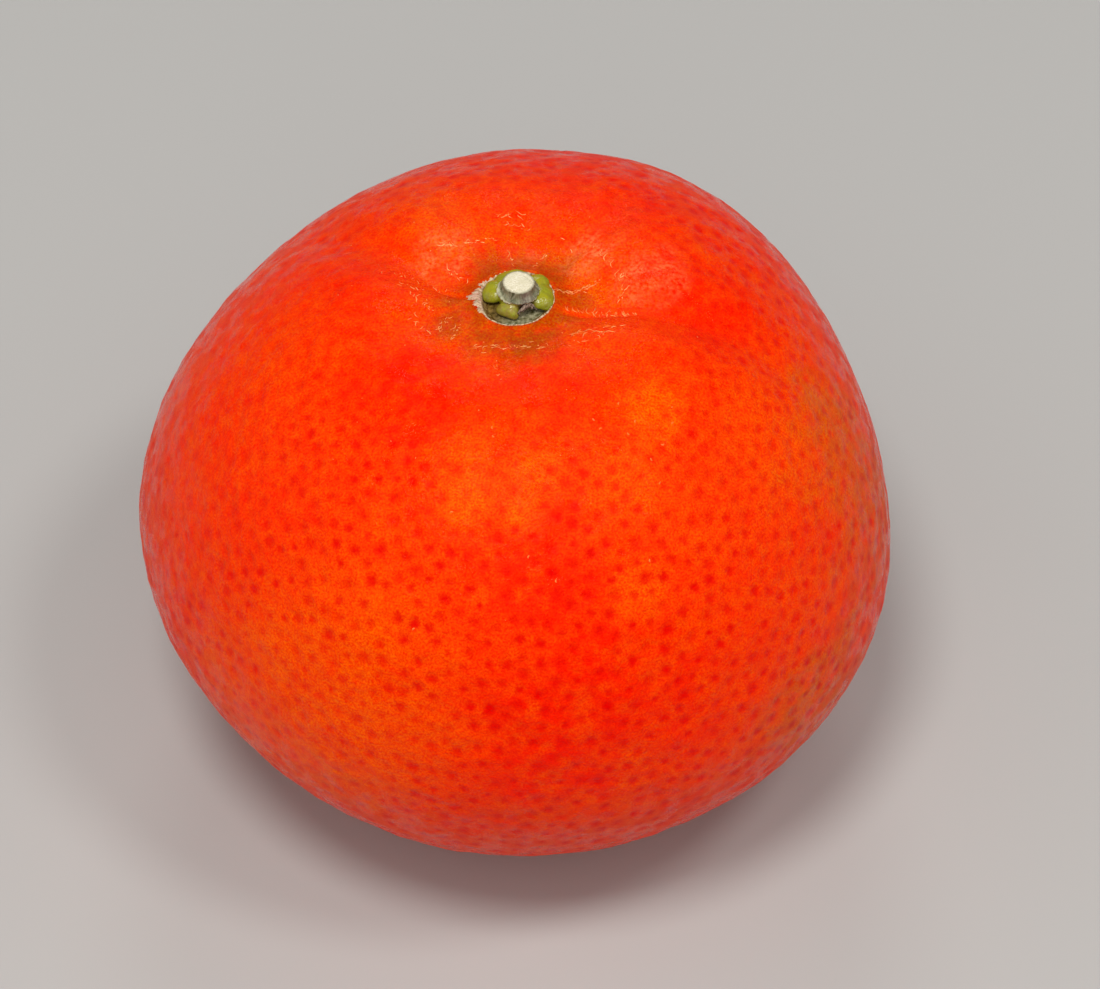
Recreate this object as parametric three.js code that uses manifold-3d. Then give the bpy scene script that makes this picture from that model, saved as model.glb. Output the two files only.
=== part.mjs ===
// A mandarin as picked: the whole fruit, the green calyx in its socket and the cut stub of its stalk.
// Millimetres, +Z up along the core of the fruit. The origin is under the middle of the fruit, on the
// surface that it rests on.
import * as THREE from "three";
import { mergeVertices } from "three/addons/utils/BufferGeometryUtils.js";
import Module from "manifold-3d";

const wasm = await Module();
wasm.setup();

const { smoothstep, degToRad, lerp } = THREE.MathUtils;

// The body: two half ovals that meet at the equator, the lower one cut flat where the fruit rests
const EQUATOR_RADIUS = 31;
const EQUATOR_HEIGHT = 24;
const CROWN_RISE = 27.6; // from the equator to where the top would be without its hollow
const CROWN_POWER = 2.05; // 2 is an ellipse, more is squarer
const BASE_DROP = 24.8; // from the equator to the pole that the flat cuts off
const BASE_POWER = 2;

// The hollow at the stalk end, and the socket in it that holds the calyx
const HOLLOW_DEPTH = 2.8;
const HOLLOW_SPREAD = 8.5;
const SOCKET_RIM_RADIUS = 3.2;
const SOCKET_FLOOR_RADIUS = 2.9;
const SOCKET_DEPTH = 1.05;
const RIM_LIP = 0.15; // the corky edge of the socket stands this proud
const RIM_LIP_WIDTH = 0.5;

// The dimple at the other end, inside the flat, with the scar of the flower's style in it
const DIMPLE_RADIUS = 4.6;
const DIMPLE_DEPTH = 0.9;
const STYLE_SCAR_RADIUS = 1.1;
const STYLE_SCAR_RISE = 0.35;

// Gentle swellings (and flats, where the rise is negative) that make the outline uneven. Azimuth is from
// +X towards +Y, polar is down from the stalk, both in degrees.
const SWELLING_SPREAD = degToRad(22);
const SWELLINGS = [
  { azimuth: 15, polar: 77, rise: -1.0 },
  { azimuth: 53, polar: 55, rise: 1.0 },
  { azimuth: 148, polar: 65, rise: -0.9 },
  { azimuth: 180, polar: 90, rise: 0.6 },
  { azimuth: 212, polar: 115, rise: -0.8 },
  { azimuth: 257, polar: 130, rise: -0.2 },
  { azimuth: 343, polar: 103, rise: 0.7 },
  { azimuth: 98, polar: 105, rise: -0.5 },
  { azimuth: 60, polar: 118, rise: 0.4 },
];

// Furrows that run out from the socket between the segments: where each one points, how much it turns
// for each 10 mm outwards, how deep and wide it is, and how far from the stalk it dies out
const CROWN_FURROWS = [
  { azimuth: -1, turn: -2.5, depth: 1.35, width: 2.2, reach: 32 },
  { azimuth: 18, turn: 3, depth: 0.8, width: 1.7, reach: 15 },
  { azimuth: 49, turn: 2, depth: 1.0, width: 2.1, reach: 18 },
  { azimuth: 79, turn: 0, depth: 0.8, width: 2.2, reach: 30 },
  { azimuth: 110, turn: 3, depth: 0.7, width: 2.0, reach: 18 },
  { azimuth: 160, turn: -8, depth: 1.3, width: 2.3, reach: 30 },
  { azimuth: 197, turn: 4, depth: 0.5, width: 2.0, reach: 16 },
  { azimuth: 232, turn: -3, depth: 0.45, width: 2.0, reach: 14 },
  { azimuth: 268, turn: 2, depth: 0.5, width: 2.2, reach: 14 },
  { azimuth: 310, turn: 4, depth: 0.45, width: 2.0, reach: 15 },
];
const FURROW_START = 3.4;
const FURROW_FULL = 6.5;

// Shallow creases round the dimple underneath, one to a segment, outside the flat
const BASE_CREASE_COUNT = 10;
const BASE_CREASE_DEPTH = 0.3;
const BASE_CREASE_FROM = 9;
const BASE_CREASE_TO = 20;

// The calyx: a disc on the socket's floor, a hub on it, and lobes that spread from the hub and droop
const CALYX_DISC_RADIUS = 2.6;
const CALYX_DISC_THICKNESS = 0.55;
const CALYX_HUB_RADIUS = 1.9;
const CALYX_HUB_TOP = 1.6;
const LOBE_THICKNESS = 0.9;
const LOBE_CREST = 1.45; // height of a lobe's middle layer at its root, over the socket's floor
const LOBE_ROOT_RADIUS = 0.9;
// Droop is how far a lobe's tip lies under its root. The last one is the stump of a torn lobe.
const LOBES = [
  { azimuth: 180, tip: 2.92, width: 2.7, droop: 0.6 },
  { azimuth: 247, tip: 2.85, width: 2.4, droop: 0.9 },
  { azimuth: 350, tip: 2.98, width: 3.0, droop: 0.55 },
  { azimuth: 44, tip: 2.95, width: 2.4, droop: 0.4 },
  { azimuth: 112, tip: 2.95, width: 2.9, droop: 0.35 },
  { azimuth: 301, tip: 2.3, width: 1.8, droop: 0.6 },
];

// The stub of the stalk, from the hub's top to the cut
const STUB_FOOT_RADIUS = 1.62;
const STUB_CUT_RADIUS = 1.3;
const STUB_HEIGHT = 1.35;
const STUB_BEVEL = 0.12;
const STUB_RIBS = 9;
const STUB_RIB_SHARE = 0.03;
const STUB_SEAT_CLEARANCE = 0.1;

// How finely the curved shapes are faceted
const FRUIT_SIDES = 80;
const FRUIT_BODY_RINGS = 38;
const RING_CROWDING = 0.82; // under 1, rings stand closer together towards the stalk
const CALYX_SIDES = 40;
const STUB_SIDES = 36;
const LOBE_SIDES = 16;
const LOBE_RINGS = 10;

const SOCKET_FLOOR_HEIGHT = crownHeight(SOCKET_RIM_RADIUS) - SOCKET_DEPTH;

// Distance from the body's middle to its oval surface, at an angle down from the stalk
function ovalRadius(polar) {
  const [rise, power] = polar < Math.PI / 2 ? [CROWN_RISE, CROWN_POWER] : [BASE_DROP, BASE_POWER];
  const across = (Math.sin(polar) / EQUATOR_RADIUS) ** power;
  const along = (Math.abs(Math.cos(polar)) / rise) ** power;
  return (across + along) ** (-1 / power);
}

// How far the hollow at the stalk end lowers the skin
function hollow(radius) {
  return HOLLOW_DEPTH * Math.exp(-((radius / HOLLOW_SPREAD) ** 2));
}

// Height of the crown over the resting surface at a distance from the core
function crownHeight(radius) {
  const share = 1 - (radius / EQUATOR_RADIUS) ** CROWN_POWER;
  return EQUATOR_HEIGHT + CROWN_RISE * share ** (1 / CROWN_POWER) - hollow(radius);
}

// The fruit's outline from the middle of its base to the middle of its socket, as lathe points
function fruitProfile() {
  const points = [
    [0, DIMPLE_DEPTH - STYLE_SCAR_RISE],
    [STYLE_SCAR_RADIUS * 0.6, DIMPLE_DEPTH - STYLE_SCAR_RISE],
    [STYLE_SCAR_RADIUS, DIMPLE_DEPTH],
  ];
  const dimpleSteps = 4;
  for (let i = 1; i <= dimpleSteps; i++) {
    const radius = lerp(STYLE_SCAR_RADIUS, DIMPLE_RADIUS, i / dimpleSteps);
    points.push([radius, DIMPLE_DEPTH * (1 - smoothstep(radius, STYLE_SCAR_RADIUS, DIMPLE_RADIUS))]);
  }

  const flatShare = EQUATOR_HEIGHT / BASE_DROP;
  const flatRadius = EQUATOR_RADIUS * (1 - flatShare ** BASE_POWER) ** (1 / BASE_POWER);
  const firstPolar = Math.PI - Math.atan2(flatRadius, EQUATOR_HEIGHT);
  const lastPolar = Math.atan2(SOCKET_RIM_RADIUS + RIM_LIP_WIDTH, CROWN_RISE);
  for (let i = 0; i <= FRUIT_BODY_RINGS; i++) {
    const share = (i / FRUIT_BODY_RINGS) ** RING_CROWDING;
    const polar = lerp(firstPolar, lastPolar, share);
    const out = ovalRadius(polar) * Math.sin(polar);
    const up = EQUATOR_HEIGHT + ovalRadius(polar) * Math.cos(polar);
    points.push([out, i === 0 ? 0 : up - (polar < Math.PI / 2 ? hollow(out) : 0)]);
  }

  const rimHeight = crownHeight(SOCKET_RIM_RADIUS);
  points.push(
    [SOCKET_RIM_RADIUS + RIM_LIP_WIDTH / 2, rimHeight + RIM_LIP],
    [SOCKET_RIM_RADIUS, rimHeight + RIM_LIP / 2],
    [(SOCKET_RIM_RADIUS + SOCKET_FLOOR_RADIUS) / 2, lerp(rimHeight, SOCKET_FLOOR_HEIGHT, 0.55)],
    [SOCKET_FLOOR_RADIUS, SOCKET_FLOOR_HEIGHT],
    [0, SOCKET_FLOOR_HEIGHT],
  );
  return points.map(([radius, height]) => new THREE.Vector2(radius, height));
}

// The direction at an azimuth from +X and a polar angle down from +Z, both in degrees
function towards(azimuth, polar) {
  const across = Math.sin(degToRad(polar));
  const x = across * Math.cos(degToRad(azimuth));
  const y = across * Math.sin(degToRad(azimuth));
  return new THREE.Vector3(x, y, Math.cos(degToRad(polar)));
}

// Rise of all the swellings together in one direction from the body's middle
function swelling(direction) {
  let rise = 0;
  for (const swell of SWELLINGS) {
    const away = direction.angleTo(towards(swell.azimuth, swell.polar));
    rise += swell.rise * Math.exp(-0.5 * (away / SWELLING_SPREAD) ** 2);
  }
  return rise;
}

// Depth of the crown's furrows at a distance from the core and an azimuth
function furrowDepth(radius, azimuth) {
  let depth = 0;
  for (const furrow of CROWN_FURROWS) {
    const bearing = degToRad(furrow.azimuth + (furrow.turn * radius) / 10);
    const beside = radius * Math.sin(azimuth - bearing);
    const ahead = Math.cos(azimuth - bearing) > 0;
    const along =
      smoothstep(radius, FURROW_START, FURROW_FULL) * (1 - smoothstep(radius, FURROW_FULL, furrow.reach));
    if (ahead) depth += furrow.depth * along * Math.exp(-((beside / furrow.width) ** 2));
  }
  return depth;
}

// Depth of the creases round the base
function baseCreaseDepth(radius, azimuth) {
  const middle = (BASE_CREASE_FROM + BASE_CREASE_TO) / 2;
  const along =
    smoothstep(radius, BASE_CREASE_FROM, middle) * (1 - smoothstep(radius, middle, BASE_CREASE_TO));
  return BASE_CREASE_DEPTH * along * (0.5 + 0.5 * Math.cos(BASE_CREASE_COUNT * azimuth));
}

// Makes a smooth turned fruit uneven: swellings move the skin out from the middle, furrows sink into it
function shapeFruit(geometry) {
  const position = geometry.getAttribute("position");
  const middle = new THREE.Vector3(0, 0, EQUATOR_HEIGHT);
  const point = new THREE.Vector3();
  for (let i = 0; i < position.count; i++) {
    point.fromBufferAttribute(position, i);
    const radius = Math.hypot(point.x, point.y);
    const azimuth = Math.atan2(point.y, point.x);
    const outwards = point.clone().sub(middle).normalize();
    const upper = point.z > EQUATOR_HEIGHT;
    // Neither the socket nor the flat base is pushed out of shape
    const fade = upper ? smoothstep(radius, FURROW_START, 2 * FURROW_FULL) : smoothstep(point.z, 0, 3);
    const sink = upper ? furrowDepth(radius, azimuth) : baseCreaseDepth(radius, azimuth);
    point.addScaledVector(outwards, swelling(outwards) * fade - sink);
    position.setXYZ(i, point.x, point.y, point.z);
  }
}

// A lathe round +Z, from points that give the distance from the axis and the height
function turned(points, sides) {
  return new THREE.LatheGeometry(points, sides).rotateX(Math.PI / 2);
}

function fruitGeometry() {
  const geometry = onlyPositions(turned(fruitProfile(), FRUIT_SIDES));
  shapeFruit(geometry);
  return geometry;
}

// The geometry with nothing but its corners, each of them there once
function onlyPositions(geometry) {
  const bare = geometry.clone();
  bare.deleteAttribute("normal");
  bare.deleteAttribute("uv");
  return mergeVertices(bare);
}

function solidOf(geometry) {
  const bare = onlyPositions(geometry);
  const vertProperties = new Float32Array(bare.getAttribute("position").array);
  const triVerts = new Uint32Array(bare.index.array);
  return new wasm.Manifold(new wasm.Mesh({ numProp: 3, vertProperties, triVerts }));
}

function geometryOf(solid) {
  const mesh = solid.getMesh();
  const geometry = new THREE.BufferGeometry();
  geometry.setAttribute("position", new THREE.BufferAttribute(mesh.vertProperties, 3));
  geometry.setIndex(new THREE.BufferAttribute(mesh.triVerts, 1));
  return geometry;
}

// One lobe: a ball pressed to a bean that points outwards, its outer part bent down into the socket
function lobeGeometry({ azimuth, tip, width, droop }) {
  const geometry = new THREE.SphereGeometry(1, LOBE_SIDES, LOBE_RINGS).rotateX(Math.PI / 2);
  const position = geometry.getAttribute("position");
  const length = tip - LOBE_ROOT_RADIUS;
  for (let i = 0; i < position.count; i++) {
    const share = (1 + position.getX(i)) / 2;
    const layer = LOBE_CREST - droop * share ** 2;
    position.setX(i, LOBE_ROOT_RADIUS + share * length);
    position.setY(i, (position.getY(i) * width) / 2);
    position.setZ(i, layer + (position.getZ(i) * LOBE_THICKNESS) / 2);
  }
  return geometry.rotateZ(degToRad(azimuth));
}

// The calyx stands on z = 0, the socket's floor
function calyxGeometry() {
  const disc = turned(
    [
      new THREE.Vector2(0, 0),
      new THREE.Vector2(CALYX_DISC_RADIUS - 0.15, 0),
      new THREE.Vector2(CALYX_DISC_RADIUS, 0.15),
      new THREE.Vector2(CALYX_DISC_RADIUS, CALYX_DISC_THICKNESS - 0.15),
      new THREE.Vector2(CALYX_DISC_RADIUS - 0.2, CALYX_DISC_THICKNESS),
      new THREE.Vector2(0, CALYX_DISC_THICKNESS),
    ],
    CALYX_SIDES,
  );
  const hub = turned(
    [
      new THREE.Vector2(0, 0.2),
      new THREE.Vector2(CALYX_HUB_RADIUS - 0.3, 0.2),
      new THREE.Vector2(CALYX_HUB_RADIUS, CALYX_HUB_TOP - 0.5),
      new THREE.Vector2(CALYX_HUB_RADIUS - 0.1, CALYX_HUB_TOP),
      new THREE.Vector2(0, CALYX_HUB_TOP),
    ],
    CALYX_SIDES,
  );
  const seatRadius = STUB_FOOT_RADIUS + STUB_SEAT_CLEARANCE;
  const seat = turned(
    [
      new THREE.Vector2(0, CALYX_HUB_TOP),
      new THREE.Vector2(seatRadius, CALYX_HUB_TOP),
      new THREE.Vector2(seatRadius, CALYX_HUB_TOP + STUB_HEIGHT),
      new THREE.Vector2(0, CALYX_HUB_TOP + STUB_HEIGHT),
    ],
    CALYX_SIDES,
  );
  let calyx = solidOf(disc).add(solidOf(hub));
  for (const lobe of LOBES) calyx = calyx.add(solidOf(lobeGeometry(lobe)));
  return geometryOf(calyx.subtract(solidOf(seat)));
}

// The stub stands on z = 0. Its foot flares, its side is ribbed and its cut face is flat.
function stubGeometry() {
  const geometry = turned(
    [
      new THREE.Vector2(0, 0),
      new THREE.Vector2(STUB_FOOT_RADIUS / (1 + STUB_RIB_SHARE), 0),
      new THREE.Vector2(STUB_FOOT_RADIUS - 0.08, 0.3),
      new THREE.Vector2(STUB_CUT_RADIUS + 0.1, 0.7),
      new THREE.Vector2(STUB_CUT_RADIUS, STUB_HEIGHT - STUB_BEVEL),
      new THREE.Vector2(STUB_CUT_RADIUS - STUB_BEVEL, STUB_HEIGHT),
      new THREE.Vector2(0, STUB_HEIGHT),
    ],
    STUB_SIDES,
  );
  const position = geometry.getAttribute("position");
  for (let i = 0; i < position.count; i++) {
    const rib = 1 + STUB_RIB_SHARE * Math.cos(STUB_RIBS * Math.atan2(position.getY(i), position.getX(i)));
    position.setXY(i, position.getX(i) * rib, position.getY(i) * rib);
  }
  return geometry;
}

function piece(name, geometry, height, color, roughness) {
  const material = new THREE.MeshStandardMaterial({ color, roughness, metalness: 0 });
  geometry.computeVertexNormals();
  const mesh = new THREE.Mesh(geometry, material);
  mesh.name = name;
  mesh.position.z = height;
  return mesh;
}

const fruit = piece("fruit", fruitGeometry(), 0, 0xf8430a, 0.4);
const calyx = piece("calyx", calyxGeometry(), SOCKET_FLOOR_HEIGHT, 0x8a8a1e, 0.45);
const stub = piece("stem_stub", stubGeometry(), SOCKET_FLOOR_HEIGHT + CALYX_HUB_TOP, 0x8f8560, 0.8);

const mandarin = new THREE.Group();
mandarin.add(fruit, calyx, stub);

// The swellings leave the core a little off the middle, so the group is set back over the origin
fruit.geometry.computeBoundingBox();
const middle = fruit.geometry.boundingBox.getCenter(new THREE.Vector3());
mandarin.position.set(-middle.x, -middle.y, 0);

export default mandarin;
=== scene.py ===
"""The looks of a mandarin as picked: pitted waxy peel, corky socket, green calyx and dry cut stalk."""

import math

import bpy
import numpy as np
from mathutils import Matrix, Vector, noise
from mathutils.bvhtree import BVHTree
from mathutils.kdtree import KDTree


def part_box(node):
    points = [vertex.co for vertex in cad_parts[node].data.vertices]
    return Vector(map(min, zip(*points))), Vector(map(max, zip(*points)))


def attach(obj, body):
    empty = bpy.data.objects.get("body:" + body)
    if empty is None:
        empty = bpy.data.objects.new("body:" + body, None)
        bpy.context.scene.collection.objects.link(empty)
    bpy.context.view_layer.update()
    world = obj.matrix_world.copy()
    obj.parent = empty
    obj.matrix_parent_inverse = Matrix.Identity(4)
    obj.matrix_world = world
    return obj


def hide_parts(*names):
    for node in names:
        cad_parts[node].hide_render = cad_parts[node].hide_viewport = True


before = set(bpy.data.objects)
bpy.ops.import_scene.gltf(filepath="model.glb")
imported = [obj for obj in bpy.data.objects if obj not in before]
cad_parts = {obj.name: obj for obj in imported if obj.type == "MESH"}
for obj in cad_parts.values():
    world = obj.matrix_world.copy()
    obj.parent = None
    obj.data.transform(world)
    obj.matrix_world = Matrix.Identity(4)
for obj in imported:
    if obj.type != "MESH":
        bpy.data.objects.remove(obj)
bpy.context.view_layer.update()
bpy.ops.object.select_all(action="DESELECT")

MM = 0.001

# Places and sizes read from the frame
FRUIT_LOW, FRUIT_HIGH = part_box("fruit")
STUB_LOW, STUB_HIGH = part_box("stem_stub")
CORE = Vector(((STUB_LOW.x + STUB_HIGH.x) / 2, (STUB_LOW.y + STUB_HIGH.y) / 2, 0))
FRUIT_RADIUS = (FRUIT_HIGH.x - FRUIT_LOW.x) / 2
SOCKET_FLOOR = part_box("calyx")[0].z
STUB_FOOT = STUB_LOW.z
EQUATOR_SHARE = 0.484  # of the fruit's height
MIDDLE = Vector((CORE.x, CORE.y, EQUATOR_SHARE * FRUIT_HIGH.z))

# The peel and its oil glands
GLAND_SPACING = 1.7 * MM
GLAND_RADIUS = 0.52 * MM
GLAND_DEPTH = 0.055 * MM
GLAND_JITTER = 0.36  # of the gap between two
ROOM_IN_ROWS = 0.866  # room of each gland in even rows, in squares of the spacing
GLANDS_FADE_FROM = 19 * MM  # nearer the stalk than this the glands fade
GLANDS_GONE_AT = 9 * MM  # and nearer than this they are gone

# The socket's edge: its radius in the frame, and the real one's at azimuths in degrees, in millimetres
SOCKET_EDGE = 3.2 * MM
EDGE_AZIMUTHS = (-180, -135, -90, -44, 0, 45, 90, 135, 180)
EDGE_RADII = (2.88, 2.98, 2.78, 2.78, 3.0, 3.14, 3.12, 3.02, 2.88)
SOCKET_LIP = 0.12 * MM  # the skin rises this much at the edge

# The ring of cork on the edge, and where it has spread over the skin, in degrees
CORK_RADIUS = 3.0 * MM
CORK_SECTION = 0.3 * MM
CORK_INWARDS = 0.75 * MM  # from the edge to where it ends in the socket
CORK_FALL = 0.7 * MM
CORK_PATCH_AZIMUTH = 172
CORK_PATCH_SPREAD = 36
CORK_TIP_SPREAD = 8

# The two sharp creases in the deepest furrows: distances from the core in millimetres, and azimuths
CREASES = [
    ((3.3, 6.7, 9.7, 14.5), (-20, -9.5, -4.5, -3)),
    ((3.6, 6.6, 8.6, 12.6), (174, 164, 153, 151)),
]
CREASE_DEPTH = 0.22 * MM
CREASE_WIDTH = 0.3 * MM
CREASES_FADE_FROM = 7  # millimetres from the core

# Zones of the skin by what differs there: the azimuth from +X, the angle down from the stalk, how far
# the zone reaches in millimetres, and how strong it is
ZONES = {
    "deep_red": [
        (-128, 27, 7, 0.95), (-74, 20, 6, 0.8), (-84, 58, 13, 0.85), (-90, 78, 12, 1.0),
        (4, 32, 7, 0.75), (50, 33, 7, 0.5), (174, 28, 6, 0.5), (-60, 75, 10, 0.4),
        (80, 40, 12, 0.5), (-140, 60, 8, 0.4),
    ],
    # Golden rind; the patches on the front where the softboxes are seen in the wax are a painted
    # highlight
    "gold": [
        (-103, 34, 4, 0.6), (-102, 40, 3, 0.9), (-90, 42, 2, 0.8), (-84, 36, 2.5, 0.7),
        (-48, 33, 4.5, 0.9), (-64, 41, 5, 0.5), (-68, 56, 3, 0.9), (46, 14, 3, 0.8),
        (13, 14, 3, 0.9), (125, 24, 5, 0.6), (-117, 76, 14, 0.6), (-135, 92, 12, 0.5),
        (-20, 55, 9, 0.4),
    ],
    "amber": [(-12, 70, 11, 0.8), (-8, 58, 7, 0.6), (-39, 93, 9, 0.8)],
    "olive": [(-85, 9, 4.5, 0.9), (-154, 13, 3, 0.7), (-40, 10, 3, 0.5)],
    # Pale wax bloom on the ridges round the stalk, partly a painted highlight where the ridges catch
    # the light
    "bloom": [(137, 17, 4, 0.9), (40, 17, 3.6, 0.9), (14, 23, 4, 0.8), (85, 11, 2.5, 0.5)],
    # Fewer gland spots on the sides; at the two front places where the softboxes are seen they are
    # washed out as a painted highlight
    "faint_glands_and_highlight": [
        (-14, 55, 18, 0.35), (-165, 55, 18, 0.35), (170, 52, 20, 0.6), (-122, 82, 14, 0.35),
        (-101, 37, 6, 0.4), (-56, 33, 5, 0.4),
    ],
}

# Broken lines of pale scars on the crown. Each line runs from an azimuth in degrees and a distance from
# the core in millimetres to another, with so many scars on it, each turned so far from the line's way.
SCAR_LINES = [
    (99, 9.2, 88, 9.4, 8, 10), (97, 8.3, 84, 8.2, 8, 0), (122, 7.6, 104, 7.2, 12, 10),
    (139, 8.6, 128, 7.6, 9, 35), (143, 6.6, 148, 4.9, 8, 20), (61, 7.9, 54, 7.6, 2, 0),
    (44, 8.4, 20, 8.8, 10, 40), (20, 9.0, 2, 8.3, 12, 10), (21, 6.8, 16, 3.5, 30, 0),
    (-9, 4.0, -5, 9.3, 34, 80), (-19, 8.4, -30, 7.4, 9, 30), (-27, 6.9, -42, 5.8, 10, 25),
    (-30, 7.8, -50, 6.6, 8, 30), (-62, 5.4, -84, 5.1, 9, 5), (-86, 5.1, -112, 5.4, 12, 5),
    (-112, 5.5, -126, 6.1, 7, 5), (-140, 6.4, -150, 5.4, 9, 40), (-152, 6.6, -162, 5.9, 10, 30),
    (-170, 8.4, -152, 8.2, 7, 10), (176, 8.3, -172, 6.7, 11, 45), (168, 9.6, 172, 7.4, 7, 30),
    (160, 11.0, 163, 6.0, 10, 70), (-104, 7.0, -101, 8.6, 5, 0), (72, 4.4, 66, 6.2, 5, 0),
    (92, 4.0, 95, 5.4, 5, 0),
]
STRAY_SCARS = 46
# Length and width of the scars that are laid, in millimetres, and which of them is the short one
SCAR_SIZES = [(0.85, 0.08), (0.5, 0.08), (0.26, 0.12), (1.2, 0.07)]
SHORT_SCAR = 2

# Lone pale flecks on the front of the crown, painted glints: azimuth and distance from the core in
# millimetres
GLINT_FLECKS = [
    (-57, 15.8), (-50, 17.6), (-55, 18.1), (-56, 19.7), (-54, 13.4), (-53, 15.2), (-44, 16.8),
    (-64.5, 23.6), (-98.4, 13.5), (-97.6, 14.2), (-64.6, 13.8), (-63.8, 14.6), (-105, 19.8),
    (-83, 23.6), (-88, 22.1), (-108, 26.4),
]

# The calyx, in millimetres over the socket's floor, with its lobes close to the frame's
CALYX_HUB_TOP = (STUB_FOOT - SOCKET_FLOOR) / MM
LOBE_ROOT_RADIUS = 0.8
LOBE_CREST = 1.45
LOBE_THICKNESS = 1.0
LOBE_BLUNTNESS = 0.78  # 1 is an oval, less is squarer
DISC_OUTLINE = [(2.0, 0.02), (2.4, 0.1), (2.5, 0.3), (2.4, 0.45), (1.9, 0.55)]
CALYX_VOXEL = 0.045
LOBES = [
    {"azimuth": 158, "tip": 2.82, "width": 2.4, "droop": 0.4},
    {"azimuth": 244, "tip": 2.1, "width": 1.95, "droop": 0.42},
    {"azimuth": 4, "tip": 2.95, "width": 3.0, "droop": 0.4},
    {"azimuth": 43, "tip": 3.1, "width": 2.0, "droop": 0.25},
    {"azimuth": 100, "tip": 2.9, "width": 3.0, "droop": 0.3},
]
TORN_AZIMUTH = math.radians(300)
TANNED_AZIMUTH = math.radians(246)
TEAR_REACH = math.radians(30)
TEAR_RADIUS = 1.64
TEAR_FIBRES = 14
CALYX_ASIDE = Vector((0.05, 0.2, 0.08)) * MM  # from the middle of the socket's floor in the frame

# The stub, in millimetres over the calyx
STUB_SIDES = 240
STUB_RINGS = 24
STUB_RADIUS = 1.26
STUB_TAPER = 0.1
FOOT_FLARE = 0.32
FOOT_HEIGHT = 0.36
CUT_RADIUS = 1.22
CUT_RINGS = 17
CUT_DROP = 0.1  # from the frame's height to the top of the side
COLLAR_AZIMUTH = math.radians(190)
BARE_AZIMUTH = -1.55
BRUISE_AZIMUTH = math.radians(-62)
STEP_AZIMUTH = 0.6

# The scar underneath
STYLE_SCAR_RADIUS = 1.2
STYLE_SCAR_HEIGHT = 0.75 * MM

# The studio's lights: azimuth and height in degrees, how far each one's edge is from its middle in
# degrees, and how bright it is
LIGHTS = {
    "left_softbox": (-109, 69, 7.5, 29),
    "right_softbox": (-32, 64, 6, 21),
    "front_fill": (-90, 40, 32, 0.85),
    "left_card": (-168, 28, 28, 0.75),
    "right_card": (-12, 25, 25, 0.65),
    "back_window": (90, 42, 10, 4.5),
}
LIGHT_DISTANCE = 700 * MM
ROOM_GLOW = 0.14
FLOOR_SIZE = 6

# The camera, at the photograph's angle
ELEVATION = math.radians(48.5)
DISTANCE = 420 * MM
LENS = 165.8
AIM_RIGHT = 2.68 * MM  # the fruit stands this much left of the photograph's middle
AIM_UP = 1.31 * MM


# Helpers


def linear(colour):
    """An sRGB hex colour as the linear one that a shader takes."""
    values = [int(colour[i:i + 2], 16) / 255 for i in (1, 3, 5)]
    return tuple(v / 12.92 if v <= 0.04045 else ((v + 0.055) / 1.055) ** 2.4 for v in values) + (1.0,)


def add(material, kind, links=(), **settings):
    """Adds a node to a material: properties and input values from settings, links from links."""
    tree = material.node_tree
    node = tree.nodes.new("ShaderNode" + kind)
    for name, value in settings.items():
        if hasattr(node, name):
            setattr(node, name, value)
        else:
            node.inputs[name.replace("_", " ")].default_value = value
    for name, socket in dict(links).items():
        tree.links.new(socket, node.inputs[name])
    return node


def bare_material(name):
    material = bpy.data.materials.new(name)
    material.use_nodes = True
    material.node_tree.nodes.clear()
    return material


def blended(material, low, high, share, mode="MIX"):
    """The colour that goes from low to high as share goes from 0 to 1. Either is a socket or a hex."""
    links = {"Fac": reading(material, share)}
    settings = {}
    for name, colour in (("Color1", low), ("Color2", high)):
        if isinstance(colour, str):
            settings[name] = linear(colour)
        else:
            links[name] = colour
    return add(material, "MixRGB", links, blend_type=mode, **settings).outputs["Color"]


def jogged(material, place, size, reach):
    """A pattern's place, moved about by noise with lumps of a size in millimetres."""
    here = add(material, "TexCoord").outputs["Object"]
    cloud = add(material, "TexNoise", {"Vector": here}, Scale=1 / (size * MM), Detail=2)
    centred = add(material, "VectorMath", {0: cloud.outputs["Color"]}, operation="SUBTRACT")
    centred.inputs[1].default_value = (0.5, 0.5, 0.5)
    jog = add(material, "VectorMath", {0: centred.outputs["Vector"]}, operation="SCALE", Scale=reach)
    moved = add(material, "VectorMath", {0: place, 1: jog.outputs["Vector"]}, operation="ADD")
    return moved.outputs["Vector"]


def mottling(material, size, low, high, detail=3):
    """Smooth noise with lumps of about a size in millimetres, stretched so that low gives 0 and high
    gives 1."""
    here = add(material, "TexCoord").outputs["Object"]
    cloud = add(material, "TexNoise", {"Vector": here}, Scale=1 / (size * MM), Detail=detail)
    return add(material, "MapRange", {"Value": cloud.outputs["Fac"]}, From_Min=low, From_Max=high,
               To_Min=0, To_Max=1).outputs["Result"]


def reading(material, what):
    """A socket as it is, or for a name the value that the mesh keeps under it."""
    if isinstance(what, str):
        return add(material, "Attribute", attribute_name=what).outputs["Fac"]
    return what


def times(material, first, second):
    """The product of two values, kept within 0 and 1. The second may be a number."""
    first = reading(material, first)
    if isinstance(second, float):
        node = add(material, "Math", {0: first}, operation="MULTIPLY", use_clamp=True)
        node.inputs[1].default_value = second
        return node.outputs["Value"]
    return add(material, "Math", {0: first, 1: reading(material, second)}, operation="MULTIPLY",
               use_clamp=True).outputs["Value"]


def bumped(material, height, strength, depth, under=None):
    """A normal with relief from a height, so many millimetres deep, on top of another relief if one
    is given. A depth below zero sinks what is high."""
    links = {"Height": height}
    if under:
        links["Normal"] = under
    return add(material, "Bump", links, invert=depth < 0, Strength=strength,
               Distance=abs(depth) * MM).outputs["Normal"]


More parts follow.
